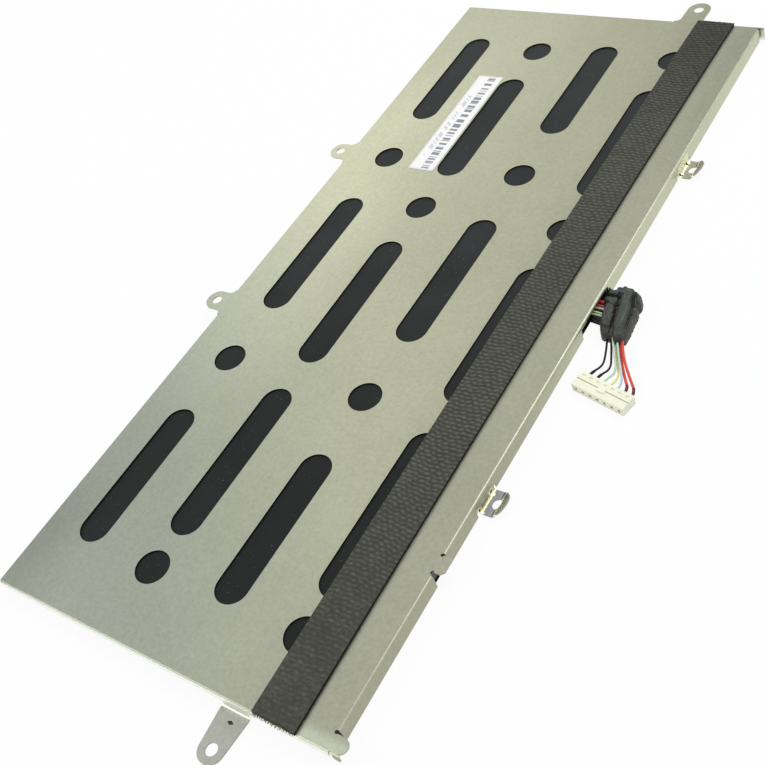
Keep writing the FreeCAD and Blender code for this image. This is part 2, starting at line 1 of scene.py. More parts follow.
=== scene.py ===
import math
import random

import bmesh
import bpy
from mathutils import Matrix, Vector, noise


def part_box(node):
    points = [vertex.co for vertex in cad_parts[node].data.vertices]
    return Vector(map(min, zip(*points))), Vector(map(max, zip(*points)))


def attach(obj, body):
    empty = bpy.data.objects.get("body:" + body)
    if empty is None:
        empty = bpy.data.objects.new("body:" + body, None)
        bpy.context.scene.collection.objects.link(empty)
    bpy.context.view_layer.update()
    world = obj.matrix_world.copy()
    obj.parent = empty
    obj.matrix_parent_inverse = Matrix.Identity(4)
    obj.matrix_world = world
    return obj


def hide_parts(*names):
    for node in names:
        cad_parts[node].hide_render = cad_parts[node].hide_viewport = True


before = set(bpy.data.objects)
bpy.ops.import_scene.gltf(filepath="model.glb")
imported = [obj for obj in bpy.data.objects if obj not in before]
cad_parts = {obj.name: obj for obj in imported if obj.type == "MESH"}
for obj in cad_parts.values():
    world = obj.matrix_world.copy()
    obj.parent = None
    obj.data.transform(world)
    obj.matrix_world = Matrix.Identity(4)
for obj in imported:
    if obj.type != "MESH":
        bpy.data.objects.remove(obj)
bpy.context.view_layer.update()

# The tray is one piece of thin plated steel, blanked with its slots and holes and
# then folded. It has a satin, faintly green-grey finish with a fine speckle, with
# painted sheen and shade over the plate and painted shade and highlights on its folded sides.
MM = 0.001
plate_level = 4.2
plate_half_width = 48.7
plate_near_end = -116.1
plate_far_lip = 113.0
steel_roughness = 0.42
steel_pale = (186, 188, 163)
# Painted shade tones for the plate's near left corner and its right side.
steel_corner_shade = (150, 156, 144)
steel_right_shade = (156, 158, 140)
steel_ear = (190, 199, 178)
# Painted shade and light on the folded sides: shade on the near flanges, light on the far ones, shade on
# the tab and a highlight on the lips.
steel_side_shade = (166, 168, 145)
steel_far_side_light = (197, 200, 173)
steel_tab_shade = (158, 159, 150)
steel_lip_highlight = (246, 247, 236)
# Painted shade on the slots' cut walls, which face the dark film.
cut_wall_shade = (30, 30, 28)
cut_wall_half_width = 47.6
cut_wall_ends = (-115.4, 112.4)
cut_wall_depth = 0.06
bracket_half = 3.3
# Painted light on the brackets' feet and a painted highlight on their folds.
bracket_foot_light = (160, 161, 146)
bracket_fold_highlight = (250, 248, 226)
bracket_fold_levels = (0.9, 1.3)
bracket_pad_level = 0.95
bend_outside = 49.3
bracket_tones = (
    # For each bracket: its y, the painted reflection on its pad, the painted highlight on its bend, and
    # the level up to which the bend is painted pale.
    (-54.2, (150, 154, 160), (206, 202, 160), 1.1),
    (55.8, (158, 160, 142), (240, 241, 212), 3.4))
peened_marks = ((-52.2, 1.4), (-57.4, 1.4), (53.1, 0.9), (57.5, 0.9))
peened_radius = 0.9
peened_core = 0.38
peened_outside = 49.6
peened_bright = (246, 243, 206)
peened_dark = (60, 48, 18)
dimple = (24.77, -118.76)
dimple_reach = 0.9
dimple_dark_tone = (64, 62, 54)


def seen(red, green, blue):
    """A colour as a screen shows it, from 0 to 255, turned into the values that a shader takes."""
    return tuple(math.pow((part / 255 + 0.055) / 1.055, 2.4) for part in (red, green, blue)) + (1,)


class Shade:
    """A socket of one material's nodes. A sum written with it adds the Math nodes that work it out."""

    def __init__(self, tree, socket=None):
        self.tree = tree
        self.socket = socket

    def add(self, kind, settings=None, sockets=None, out=0):
        node = self.tree.nodes.new("ShaderNode" + kind)
        for name, value in (settings or {}).items():
            setattr(node, name, value)
        for name, value in (sockets or {}).items():
            if isinstance(value, Shade):
                self.tree.links.new(value.socket, node.inputs[name])
            else:
                node.inputs[name].default_value = value
        return Shade(self.tree, node.outputs[out] if node.outputs else None)

    def maths(self, operation, *others):
        """Works the operation out on this value and the others that follow it."""
        return self.add("Math", {"operation": operation}, dict(enumerate((self,) + others)))

    def __add__(self, other):
        return self.maths("ADD", other)

    def __sub__(self, other):
        return self.maths("SUBTRACT", other)

    def __mul__(self, other):
        return self.maths("MULTIPLY", other)

    def __truediv__(self, other):
        return self.maths("DIVIDE", other)

    def __radd__(self, other):
        return self.maths("ADD", other)

    def __rsub__(self, other):
        return self.add("Math", {"operation": "SUBTRACT"}, {0: other, 1: self})

    def __rmul__(self, other):
        return self.maths("MULTIPLY", other)

    def __rtruediv__(self, other):
        return self.add("Math", {"operation": "DIVIDE"}, {0: other, 1: self})

    def __gt__(self, other):
        return self.maths("GREATER_THAN", other)

    def __lt__(self, other):
        return self.maths("LESS_THAN", other)

    def between(self, low, high):
        """0 below low, 1 above high, and smooth from one to the other."""
        return self.add("MapRange", {"interpolation_type": "SMOOTHSTEP"},
                        {"Value": self, "From Min": low, "From Max": high})

    def tint(self, low, high):
        """The colour low where this is 0 and high where it is 1."""
        return self.add("Mix", {"data_type": "RGBA"}, {0: self, 6: low, 7: high}, out=2)

    def place(self, stretch=(1, 1, 1)):
        """Where a point lies, in millimetres, with each axis stretched."""
        metres = self.add("TexCoord", out="Object")
        scale = [part / MM for part in stretch]
        return self.add("VectorMath", {"operation": "MULTIPLY"}, {0: metres, 1: scale})

    def axis(self, letter):
        """How far across (X), along (Y) or up (Z) a place lies."""
        return self.add("SeparateXYZ", None, {"Vector": self}, out=letter)

    def scaled(self, factor):
        """The colour or vector made stronger or weaker by a factor."""
        return self.add("VectorMath", {"operation": "SCALE"}, {0: self, "Scale": factor})

    def grain(self, scale, detail=2, stretch=(1, 1, 1), roughness=0.5):
        """Noise from 0 to 1 whose lumps are about 1 / scale millimetres across."""
        sockets = {"Vector": self.place(stretch), "Scale": scale, "Detail": detail, "Roughness": roughness}
        return self.add("TexNoise", None, sockets, out="Fac")

    def bump(self, height, depth, strength=1):
        """A normal from height, where 1 stands depth millimetres proud."""
        return self.add("Bump", None, {"Height": height, "Distance": depth * MM, "Strength": strength})


def paint(pieces, name, look):
    """Gives the pieces one new material. look takes a Shade and returns the shader's sockets."""
    material = bpy.data.materials.new(name)
    material.use_nodes = True
    material.node_tree.nodes.clear()
    shade = Shade(material.node_tree)
    surface = shade.add("BsdfPrincipled", None, look(shade))
    shade.add("OutputMaterial", None, {"Surface": surface})
    for piece in pieces:
        piece.data.materials.clear()
        piece.data.materials.append(material)


def plate_tone(across, along):
    """The flat sheet with painted sheen and shade: a painted sheen along its left side, painted shade in
    its near left corner, across its middle, on its right side, at its far end and by its far right margin,
    and a lighter patch at the ear.
    """
    near_left_shade = (across * -0.009 + along * -0.007).between(0.1, 1.0)
    right_side_shade = across.between(18, 46)
    far_end_shade = (across * 0.6 + along).between(60, 150)
    painted_sheen = across.between(-10, -46) * along.between(-80, -20) * (1 - along.between(50, 105))
    corner = across.between(-30, -48) * along.between(-75, -100)
    middle_shade = across.between(-30, 20) * (along.between(-60, 40) * 0.4 + 0.6) * (1 - across.between(30, 43))
    ear = across.between(35, 41) * along.between(-112, -114.5)
    margin_shade = across.between(41, 46) * along.between(30, 100)
    tone = near_left_shade.tint(seen(*steel_pale), seen(*steel_corner_shade))
    tone = right_side_shade.tint(tone, seen(*steel_right_shade)).scaled(1 - far_end_shade * 0.1)
    tone = tone.scaled(1 + painted_sheen * 0.24 - corner * 0.18 - middle_shade * 0.2)
    tone = (ear * 0.6).tint(tone, seen(*steel_ear))
    return tone.scaled(1 - margin_shade * 0.1)


def folded_tone(across, along, level, tone):
    """Below the plate, the one steel is painted in shaded and lit copies: painted shade on the near
    flanges and the tabs, painted light on the far flanges, and a painted highlight on the lips of both
    ends. The cut walls, which face the dark film, are painted dark as shade.
    """
    side = along.between(-50, 20).tint(seen(*steel_side_shade), seen(*steel_far_side_light))
    lip_highlight = ((along < plate_near_end + 0.3) + (along > plate_far_lip)) * (across < plate_half_width + 1)
    side = lip_highlight.tint(side, seen(*steel_lip_highlight))
    side = (along < plate_near_end - 0.4).tint(side, seen(*steel_tab_shade))
    tone = (plate_level - level).between(0.05, 0.25).tint(tone, side)
    wall = (level < plate_level - cut_wall_depth) * (across.maths("ABSOLUTE") < cut_wall_half_width)
    wall = wall * (along > cut_wall_ends[0]) * (along < cut_wall_ends[1])
    return wall.tint(tone, seen(*cut_wall_shade))


def bracket_tone(across, along, level, tone):
    """Each bracket has a painted dark reflection on its pad, painted light on its foot, a painted
    highlight on the fold at its turned-up tip, and a painted pale highlight on the bend at its root.
    """
    beyond = across > plate_half_width + 0.3
    at_bend = across > plate_half_width - 0.3
    for middle, pad_reflection, bend_highlight, bend_level in bracket_tones:
        off = (along - middle).maths("ABSOLUTE")
        foot = beyond * (off < bracket_half + 0.2)
        pad = foot * (level < bracket_pad_level)
        fold = foot * (level > bracket_fold_levels[0]) * (level < bracket_fold_levels[1])
        tone = foot.tint(tone, seen(*bracket_foot_light))
        tone = fold.tint(tone, seen(*bracket_fold_highlight))
        tone = pad.tint(tone, seen(*pad_reflection))
        root = (level < bend_level) * (off < bracket_half) * at_bend * (across < bend_outside)
        tone = (root * 0.65).tint(tone, seen(*bend_highlight))
    for mark_y, mark_z in peened_marks:
        off_y, off_z = along - mark_y, level - mark_z
        away = (off_y * off_y + off_z * off_z).maths("SQRT")
        mark = (away < peened_radius) * at_bend * (across < peened_outside)
        tone = (mark * 0.85).tint(tone, seen(*peened_bright))
        tone = (mark * (away < peened_core)).tint(tone, seen(*peened_dark))
    return tone


def steel(shade):
    place = shade.place()
    across, along, level = (place.axis(letter) for letter in "XYZ")
    tone = plate_tone(across, along)
    tone = folded_tone(across, along, level, tone)
    tone = bracket_tone(across, along, level, tone)
    # The pressed dimple on the low tab is painted dark.
    off_dimple = (across - dimple[0]).maths("ABSOLUTE") + (along - dimple[1]).maths("ABSOLUTE") * 2
    tone = (off_dimple < dimple_reach).tint(tone, seen(*dimple_dark_tone))
    cloud = shade.grain(0.035, detail=3)
    speckle = shade.grain(1.1, detail=5, roughness=0.75)
    rolled = shade.grain(2.5, detail=3, stretch=(1.0, 0.03, 1.0))
    return {
        "Base Color": tone.scaled(0.75 + speckle * 0.5 + (cloud - 0.5) * 0.12 + (rolled - 0.5) * 0.08),
        "Metallic": 1.0,
        "Roughness": steel_roughness + (cloud - 0.5) * 0.08 + (speckle - 0.5) * 0.12,
        "Normal": shade.bump(speckle + rolled * 0.6, 0.012, 0.5),
    }


paint([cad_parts["tray"]], "tray_steel", steel)

# The slots and round holes are closed from below by a thin black film, glued to the
# underside of the plate. It is satin and a little slack, with dust on it.
film_level = 3.8
film_gap = 0.02
film_floor = 3.66
film_step = 1.2
board_gap_y = 0.8
board_gap_half = 6.5


def new_piece(name, mesh):
    """Turns a finished bmesh into a piece that rides with the pack."""
    bmesh.ops.recalc_face_normals(mesh, faces=mesh.faces)
    data = bpy.data.meshes.new(name)
    mesh.to_mesh(data)
    mesh.free()
    for face in data.polygons:
        face.use_smooth = True
    piece = bpy.data.objects.new(name, data)
    bpy.context.scene.collection.objects.link(piece)
    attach(piece, "root")
    return piece


def sheet_mesh(name, xs, ys, height, level_below):
    """A closed thin sheet on a grid of xs by ys, with its top at height(x, y), in millimetres."""
    mesh = bmesh.new()
    top = [[mesh.verts.new((x * MM, y * MM, height(x, y) * MM)) for x in xs] for y in ys]
    low = [[mesh.verts.new((x * MM, y * MM, level_below * MM)) for x in xs] for y in ys]
    for j in range(len(ys) - 1):
        for i in range(len(xs) - 1):
            mesh.faces.new((top[j][i], top[j][i + 1], top[j + 1][i + 1], top[j + 1][i]))
            mesh.faces.new((low[j][i], low[j + 1][i], low[j + 1][i + 1], low[j][i + 1]))
    rim = [(0, i) for i in range(len(xs))] + [(j, len(xs) - 1) for j in range(1, len(ys))]
    rim += [(len(ys) - 1, i) for i in range(len(xs) - 2, -1, -1)]
    rim += [(j, 0) for j in range(len(ys) - 2, 0, -1)]
    for (j, i), (j2, i2) in zip(rim, rim[1:] + rim[:1]):
        mesh.faces.new((top[j][i], low[j][i], low[j2][i2], top[j2][i2]))
    return new_piece(name, mesh)


def steps(low, high, step):
    count = round((high - low) / step)
    return [low + (high - low) * index / count for index in range(count + 1)]


def film_height(x, y):
    """The film lies a little slack, and sinks where the cells end and the board lies lower."""
    sink = 0.03 * math.exp(-((y - board_gap_y) / board_gap_half) ** 4)
    slack = 0.012 * noise.noise(Vector((x * 0.12, y * 0.05, 3.0)))
    ripple = 0.004 * noise.noise(Vector((x * 0.7, y * 0.4, 7.0)))
    return film_level - film_gap - sink + slack + ripple


def dark_film(shade):
    cloud = shade.grain(0.07, detail=2)
    dust = shade.grain(3.1, detail=1, roughness=0.4)
    speck = dust.between(0.76, 0.79)
    # A painted sheen lightens the film towards the far end.
    far_sheen = shade.place().axis("Y").between(-70, 30)
    tone = cloud.tint(seen(24, 25, 25), seen(38, 41, 41)).scaled(1 + far_sheen * 0.7)
    return {
        "Base Color": speck.tint(tone, seen(120, 120, 112)),
        "Roughness": 0.42 + (cloud - 0.5) * 0.2,
        "Specular IOR Level": 0.1,
        "Normal": shade.bump(shade.grain(1.4, detail=3), 0.03, 0.4),
    }


film_low, film_high = (Vector(corner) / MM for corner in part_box("slot_film"))
slot_film = sheet_mesh("slot_film_sheet", steps(film_low.x, film_high.x, film_step),
                       steps(film_low.y, film_high.y, film_step), film_height, film_floor)
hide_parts("slot_film")
paint([slot_film], "slot_film_black", dark_film)

# The two cells are flat foil pouches, cold-formed and heat-sealed round their rims.
# Strips of white tape hold them up against the plate, and dark tape covers the seal
# along each outer side.
side_tape_x = 46.9


def pouch_foil(shade):
    stipple = shade.grain(2.2, detail=2)
    soft = shade.grain(0.09, detail=2)
    taped = shade.place().axis("X").maths("ABSOLUTE") > side_tape_x
    return {
        "Base Color": taped.tint(soft.tint(seen(196, 198, 201), seen(214, 215, 216)), seen(40, 41, 41)),
        "Metallic": 1 - taped,
        "Roughness": 0.34 + (stipple - 0.5) * 0.16,
        "Normal": shade.bump(stipple + soft, 0.05, 0.6),
    }


def white_tape(shade):
    fibre = shade.grain(1.8, detail=3)
    return {
        "Base Color": fibre.tint(seen(226, 223, 212), seen(240, 238, 230)),
        "Roughness": 0.6,
        "Normal": shade.bump(fibre, 0.02, 0.4),
    }


paint([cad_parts["cell_1"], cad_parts["cell_2"]], "pouch_foil", pouch_foil)
paint([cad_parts["cell_1_glue"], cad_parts["cell_2_glue"]], "glue_tape", white_tape)

# Nickel strips carry the current: one tab at each end of a cell, and a link that
# joins the cells in series. They are spot-welded, so the metal is dimpled.
nickel_nodes = ("cell_1_far_tab", "cell_1_near_tab", "cell_2_near_tab", "cell_2_far_tab", "series_link")


def nickel(shade):
    rub = shade.grain(1.2, detail=3, stretch=(0.25, 1, 1))
    weld = shade.add("TexVoronoi", None, {"Vector": shade.place(), "Scale": 0.9}, out="Distance")
    return {
        "Base Color": rub.tint(seen(196, 193, 184), seen(214, 212, 204)),
        "Metallic": 1.0,
        "Roughness": 0.28 + (rub - 0.5) * 0.2,
        "Normal": shade.bump(weld.between(0.0, 0.35), 0.04, 0.6),
    }


paint([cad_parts[name] for name in nickel_nodes], "nickel_strip", nickel)

# The protection board lies across the pack between the cells, on a foam pad. It is
# green laminate with moulded chips, a ceramic fuse and a row of small capacitors,
# and each wire is soldered to its edge.


def laminate(shade):
    cloth = shade.add("TexWave", {"wave_type": "BANDS", "bands_direction": "DIAGONAL"},
                      {"Vector": shade.place(), "Scale": 1.1, "Distortion": 1.0, "Detail": 2}, out="Fac")
    return {
        "Base Color": cloth.tint(seen(22, 74, 46), seen(30, 90, 56)),
        "Roughness": 0.3,
        "Coat Weight": 0.4,
        "Normal": shade.bump(shade.grain(0.8), 0.02, 0.3),
    }


def soft_foam(shade):
    pores = shade.grain(5.0, detail=3)
    return {
        "Base Color": pores.tint(seen(30, 30, 31), seen(46, 46, 47)),
        "Roughness": 0.9,
        "Normal": shade.bump(pores, 0.08, 0.8),
    }


def moulded_chip(shade):
    sand = shade.grain(7.0, detail=3)
    return {
        "Base Color": sand.tint(seen(38, 38, 40), seen(50, 50, 52)),
        "Roughness": 0.55 + (sand - 0.5) * 0.2,
        "Normal": shade.bump(sand, 0.015, 0.6),
    }


def pale_ceramic(shade):
    sand = shade.grain(4.0, detail=2)
    return {
        "Base Color": sand.tint(seen(220, 216, 202), seen(232, 229, 218)),
        "Roughness": 0.45,
        "Normal": shade.bump(sand, 0.01, 0.4),
    }


def dark_ceramic(shade):
    sand = shade.grain(4.0, detail=2)
    return {
        "Base Color": sand.tint(seen(52, 52, 55), seen(66, 66, 70)),
        "Roughness": 0.35,
        "Normal": shade.bump(sand, 0.01, 0.4),
    }


def fired_ceramic(shade):
    glaze = shade.grain(3.0)
    return {
        "Base Color": glaze.tint(seen(172, 140, 98), seen(196, 166, 124)),
        "Roughness": 0.4,
        "Normal": shade.bump(shade.grain(6.0), 0.01, 0.3),
    }


def bright_solder(shade):
    flow = shade.grain(1.5, detail=2)
    return {
        "Base Color": flow.tint(seen(200, 200, 202), seen(226, 226, 228)),
        "Metallic": 1.0,
        "Roughness": 0.18 + flow * 0.12,
        "Normal": shade.bump(flow, 0.12, 0.7),
    }


board_looks = {
    "protection_board": ("board_laminate", laminate),
    "board_foam_pad": ("board_foam", soft_foam),
    "switching_transistors": ("transistor_black", moulded_chip),
    "controller_chip": ("controller_black", moulded_chip),
    "thermal_cutoff": ("cutoff_black", moulded_chip),
    "board_fuse": ("fuse_ceramic", pale_ceramic),
    "sense_resistor": ("resistor_ceramic", dark_ceramic),
    "board_capacitors": ("capacitor_ceramic", fired_ceramic),
    "solder_joints": ("solder", bright_solder),
}
for node, (name, look) in board_looks.items():
    paint([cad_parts[node]], name, look)

# Amber film tape insulates the board, and a black film closes the whole underside.
# The same black cloth tape that wraps the cable lines the flange's window.


def amber_film(shade):
    ripple = shade.grain(0.35, detail=3, stretch=(1, 2, 1))
    return {
        "Base Color": ripple.tint(seen(186, 122, 32), seen(206, 148, 52)),
        "Roughness": 0.16,
        "Alpha": 0.72,
        "Normal": shade.bump(ripple, 0.1, 0.6),
    }


def cloth_tape(shade):
    warp = shade.grain(3.4, detail=2, stretch=(1, 0.22, 1))
    weft = shade.grain(3.4, detail=2, stretch=(0.22, 1, 1))
    weave = warp + weft
    rub = shade.grain(0.7, detail=3)
    return {
        "Base Color": rub.tint(seen(24, 27, 25), seen(42, 47, 43)),
        "Roughness": 0.5 + (weave - 1) * 0.25,
        "Specular IOR Level": 0.55,
        "Sheen Weight": 0.1,
        "Sheen Roughness": 0.4,
        "Sheen Tint": (0.75, 0.85, 0.78, 1),
        "Normal": shade.bump(weave, 0.05, 0.55),
    }


paint([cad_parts["board_tape"]], "amber_tape", amber_film)
paint([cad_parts["cover_film"]], "cover_film_black", dark_film)
paint([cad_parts["window_tape"]], "cloth_tape_black", cloth_tape)

# A ribbed woven tape runs along the plate, stuck down by hand, so that it bows a
# little. It has a bound edge on each side and raw, fraying cut ends, and sinks
# slightly into the slots that it covers.
strip_near_y = -115.8
strip_far_y = 113.885
strip_far_slope = -0.0367
strip_half_width = 5.4
strip_ends_x = (35.5, 35.85)
strip_bow = 0.85
strip_floor = 4.2
strip_crown = 5.08
strip_points_across = 40
rib_pitch = 1.08
dash_pitch = 1.7
dash_wobble = (0.2, 0.6)
rib_wobbles = (
    # Each wobble of the ribs is its height, and how fast it turns across the tape and along it.
    (0.3, 0.35, 0.09),
    (0.12, 1.7, -0.23))
weave_height = 0.045
rows_per_rib = 6
edge_binding = 0.42
binding_drop = 0.03
fray = 0.22
slot_half_width = 4.2
covered_column_x = 30.3
covered_slots = ((59.3, 22.3), (-12.8, 22.3), (-66.6, 22.3), (95.6, 4.3), (23.5, 4.3), (-98.0, 4.3))
sink_depth = 0.1
sink_slope = 1.2
# Below these levels the tape's side is painted near black, as its shadow line.
strip_side_levels = (4.72, 4.84)
strip_side_shadow = (12, 12, 9)
yarn_count = 74
yarn_sides = 5
yarn_lengths = (0.2, 0.75)
yarn_shape = ((0, 0.09), (0.6, 0.08), (1, 0.03))


def strip_centre(y):
    share = (y - strip_near_y) / (strip_far_y - strip_near_y)
    straight = strip_ends_x[0] + (strip_ends_x[1] - strip_ends_x[0]) * share
    return straight - strip_bow * 4 * share * (1 - share)


def strip_end(end, x):
    """Where the tape's near end (-1) or far end (1) lies at x. The far end follows the plate's slant."""
    return strip_near_y if end < 0 else strip_far_y + (x - strip_ends_x[1]) * strip_far_slope


def slot_sink(x, y):
    """How far the tape sinks over the openings beneath it."""
    deepest = 0
    for middle, half in covered_slots:
        beyond = max(0, abs(y - middle) - (half - slot_half_width))
        inside = slot_half_width - math.hypot(x - covered_column_x, beyond)
        share = min(1, max(0, inside / sink_slope))
        deepest = max(deepest, share * share * (3 - 2 * share))
    return sink_depth * deepest


def strip_outline():
    """Points across the tape, as its offset from the middle and its share of the full height."""
    wall = [(-1, 0), (-1, 0.45), (-1, 0.8), (-0.992, 0.93), (-0.975, 1.0)]
    top = [(u, 1.0) for u in steps(-0.95, 0.95, 1.9 / strip_points_across)]
    return wall + top + [(-u, level) for u, level in reversed(wall)]


def weave_at(x, y):
    """How far a thread stands up, from 0 to 1: ribs across the tape, broken into staggered dashes."""
    phase = y / rib_pitch
    for size, across, along in rib_wobbles:
        phase += size * math.sin(across * x + along * y)
    stagger = (math.floor(phase) * 0.5) % 1
    rib = 0.5 - 0.5 * math.cos(2 * math.pi * phase)
    drift = dash_wobble[0] * math.sin(dash_wobble[1] * y)
    dash = 0.5 + 0.5 * math.cos(2 * math.pi * (x / dash_pitch + stagger + drift))
    return rib * (0.5 + 0.5 * dash)


def join_rings(mesh, rings):
    """Joins each ring of points to the next one, and closes both ends."""
    for ring, after in zip(rings, rings[1:]):
        for i in range(len(ring)):
            j = (i + 1) % len(ring)
            mesh.faces.new((ring[i], ring[j], after[j], after[i]))
    mesh.faces.new(rings[0])
    mesh.faces.new(rings[-1])


def make_strip():
    mesh = bmesh.new()
    random.seed(11)
    outline = strip_outline()
    rows = round((strip_far_y - strip_near_y) / rib_pitch * rows_per_rib)
    frays = [[random.uniform(-fray, fray) for _ in outline] for _ in range(2)]
    rings = []
    for row in range(rows + 1):
        share = row / rows
        middle = strip_centre(strip_near_y + (strip_far_y - strip_near_y) * share)
        ring = []
        for index, (u, level) in enumerate(outline):
            x = middle + u * strip_half_width
            y = strip_near_y + (strip_end(1, x) - strip_near_y) * share
            if row in (0, rows):
                y += frays[row > 0][index]
            binding = strip_half_width * (1 - abs(u)) < edge_binding
            height = strip_crown - slot_sink(x, y)
            height += -binding_drop if binding else weave_height * (weave_at(x, y) - 1)
            height += 0.012 * noise.noise(Vector((x * 0.9, y * 0.9, 5.0)))
            z = strip_floor + (height - strip_floor) * level
            ring.append(mesh.verts.new((x * MM, y * MM, z * MM)))
        rings.append(ring)
    join_rings(mesh, rings)
    return new_piece("woven_strip", mesh)


def woven(shade):
    """The same threads as in the mesh, with painted shade between them that is fainter at the near end;
    the whole tape is painted lighter at its near end and darker towards its far end, and its side is
    painted near black as its shadow line.
    """
    place = shade.place()
    across, along, level = (place.axis(letter) for letter in "XYZ")
    phase = along / rib_pitch
    for size, turn_across, turn_along in rib_wobbles:
        phase = phase + (across * turn_across + along * turn_along).maths("SINE") * size
    stagger = (phase.maths("FLOOR") * 0.5).maths("FRACT")
    rib = 0.5 - (phase * (2 * math.pi)).maths("COSINE") * 0.5
    dash = across / dash_pitch + stagger + (along * dash_wobble[1]).maths("SINE") * dash_wobble[0]
    dash = (dash * (2 * math.pi)).maths("COSINE") * 0.5 + 0.5
    fuzz = shade.grain(1.3, detail=4, stretch=(0.6, 1.2, 1), roughness=0.75)
    patch = shade.grain(0.12, detail=2)
    thread = rib * (0.35 + dash * 0.65) * (0.35 + along.between(-112, -40) * 0.65)
    lit = (thread * 0.75 + (fuzz - 0.5) * 1.7 + (patch - 0.5) * 0.3 + 0.12).between(0.0, 1.0)
    side = level.between(*strip_side_levels)
    # Painted light and shade along the tape: lighter at the near end, darker towards the far end.
    light_falloff = along.between(-112, -40) * 0.12 + along.between(50, 115) * 0.33
    cloth = lit.tint(seen(60, 61, 55), seen(95, 97, 87)).scaled(1.12 - light_falloff)
    return {
        "Base Color": side.tint(seen(*strip_side_shadow), cloth),
        "Roughness": 0.85,
        "Specular IOR Level": 0.2,
        "Normal": shade.bump(thread * 0.4 + fuzz, 0.05, 0.5),
    }


woven_strip = make_strip()
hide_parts("cloth_strip")
paint([woven_strip], "ribbed_cloth", woven)


def make_fringe(name, end):
    """Loose yarn ends along one cut end of the tape, drooping over the plate's bend."""
    random.seed(23 + end)
    mesh = bmesh.new()
    for index in range(yarn_count):
        u = -0.98 + 1.96 * (index + random.uniform(0.1, 0.9)) / yarn_count
        length = random.uniform(*yarn_lengths)
        x = strip_centre(strip_near_y if end < 0 else strip_far_y) + u * strip_half_width
        start = Vector((x, strip_end(end, x) - end * 0.3, random.uniform(4.3, 4.95)))
        droop = Vector((random.uniform(-0.15, 0.15), end * (0.3 + length), -random.uniform(0.0, 0.3)))
        rings = []
        for share, width in yarn_shape:
            middle = start + droop * share - Vector((0, 0, 0.2 * share * share))
            ring = []
            for side in range(yarn_sides):
                angle = 2 * math.pi * side / yarn_sides
                corner = Vector((width * math.cos(angle), 0, width * math.sin(angle)))
                ring.append(mesh.verts.new((middle + corner) * MM))
            rings.append(ring)
        join_rings(mesh, rings)
    return new_piece(name, mesh)


def loose_yarn(shade):
    mix = shade.grain(1.8, detail=2)
    return {
        "Base Color": mix.between(0.35, 0.65).tint(seen(74, 70, 52), seen(164, 160, 128)),
        "Roughness": 0.9,
        "Normal": shade.bump(mix, 0.03, 0.5),
    }


fringes = [make_fringe("near_fringe", -1), make_fringe("far_fringe", 1)]
paint(fringes, "fringe_yarn", loose_yarn)

# The label is a white paper sticker, pressed on by hand and curling a little. It has
# a block of plain bars across one half and a faint row of ticks along the other.
label_middle = (-21.65, 59.9)
label_half = (4.15, 21.95)
label_level = 4.3
label_floor = 4.205
label_curl = 0.01
label_steps = (0.92, 1.1)
bar_span = (-21.9, -19.4)
bar_run = (38.7, 81.2)
bar_ink = (104, 110, 116)
wide_bars = (2.15, 0.45, 0.85, 0.3)
thin_bars = (1.25, 0.16, 0.3, 40.7)
tick_span = (-24.3, -22.9)
tick_run = (44.0, 72.0)
tick_pitch = 0.6
tick_ink = (120, 120, 150)


def label_height(x, y):
    return label_level + label_curl * (noise.noise(Vector((x * 0.2, y * 0.1, 9.0))) - 1)


def chance(shade, number):
    """A number from 0 to 1 that is fixed for each value of number."""
    return shade.add("TexWhiteNoise", {"noise_dimensions": "1D"}, {"W": number}, out="Value")


def plain_bars(shade, along, pitch, least, spread, seed):
    """1 on bars at about one to each pitch, of uneven widths, from least to least + spread."""
    turn = along / pitch + seed
    number = turn.maths("FLOOR")
    middle = chance(shade, number) * 0.5 + 0.25
    width = chance(shade, number + 0.5) * spread + least
    off = (turn - number - middle).maths("ABSOLUTE") * pitch
    return off < width * 0.5


def printed_paper(shade):
    place = shade.place()
    across, along = place.axis("X"), place.axis("Y")
    wide = plain_bars(shade, along, *wide_bars)
    thin = plain_bars(shade, along, *thin_bars)
    ink = wide.maths("MAXIMUM", thin)
    in_bars = (across > bar_span[0]) * (across < bar_span[1])
    in_bars = in_bars * (along > bar_run[0]) * (along < bar_run[1])
    tick = chance(shade, ((along + across * 0.8) / tick_pitch).maths("FLOOR") + 0.25)
    in_ticks = (across > tick_span[0]) * (across < tick_span[1])
    in_ticks = in_ticks * (along > tick_run[0]) * (along < tick_run[1])
    faint = (tick > 0.5) * in_ticks * 0.35
    fibre = shade.grain(1.2, detail=4)
    paper = fibre.tint(seen(238, 239, 238), seen(250, 250, 249))
    paper = faint.tint(paper, seen(*tick_ink))
    return {
        "Base Color": (ink * in_bars * 0.85).tint(paper, seen(*bar_ink)),
        "Roughness": 0.55,
        "Normal": shade.bump(fibre, 0.01, 0.4),
    }


label_xs, label_ys = (steps(middle - half, middle + half, step)
                      for middle, half, step in zip(label_middle, label_half, label_steps))
label = sheet_mesh("label_sticker", label_xs, label_ys, label_height, label_floor)
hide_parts("barcode_label")
paint([label], "printed_label", printed_paper)
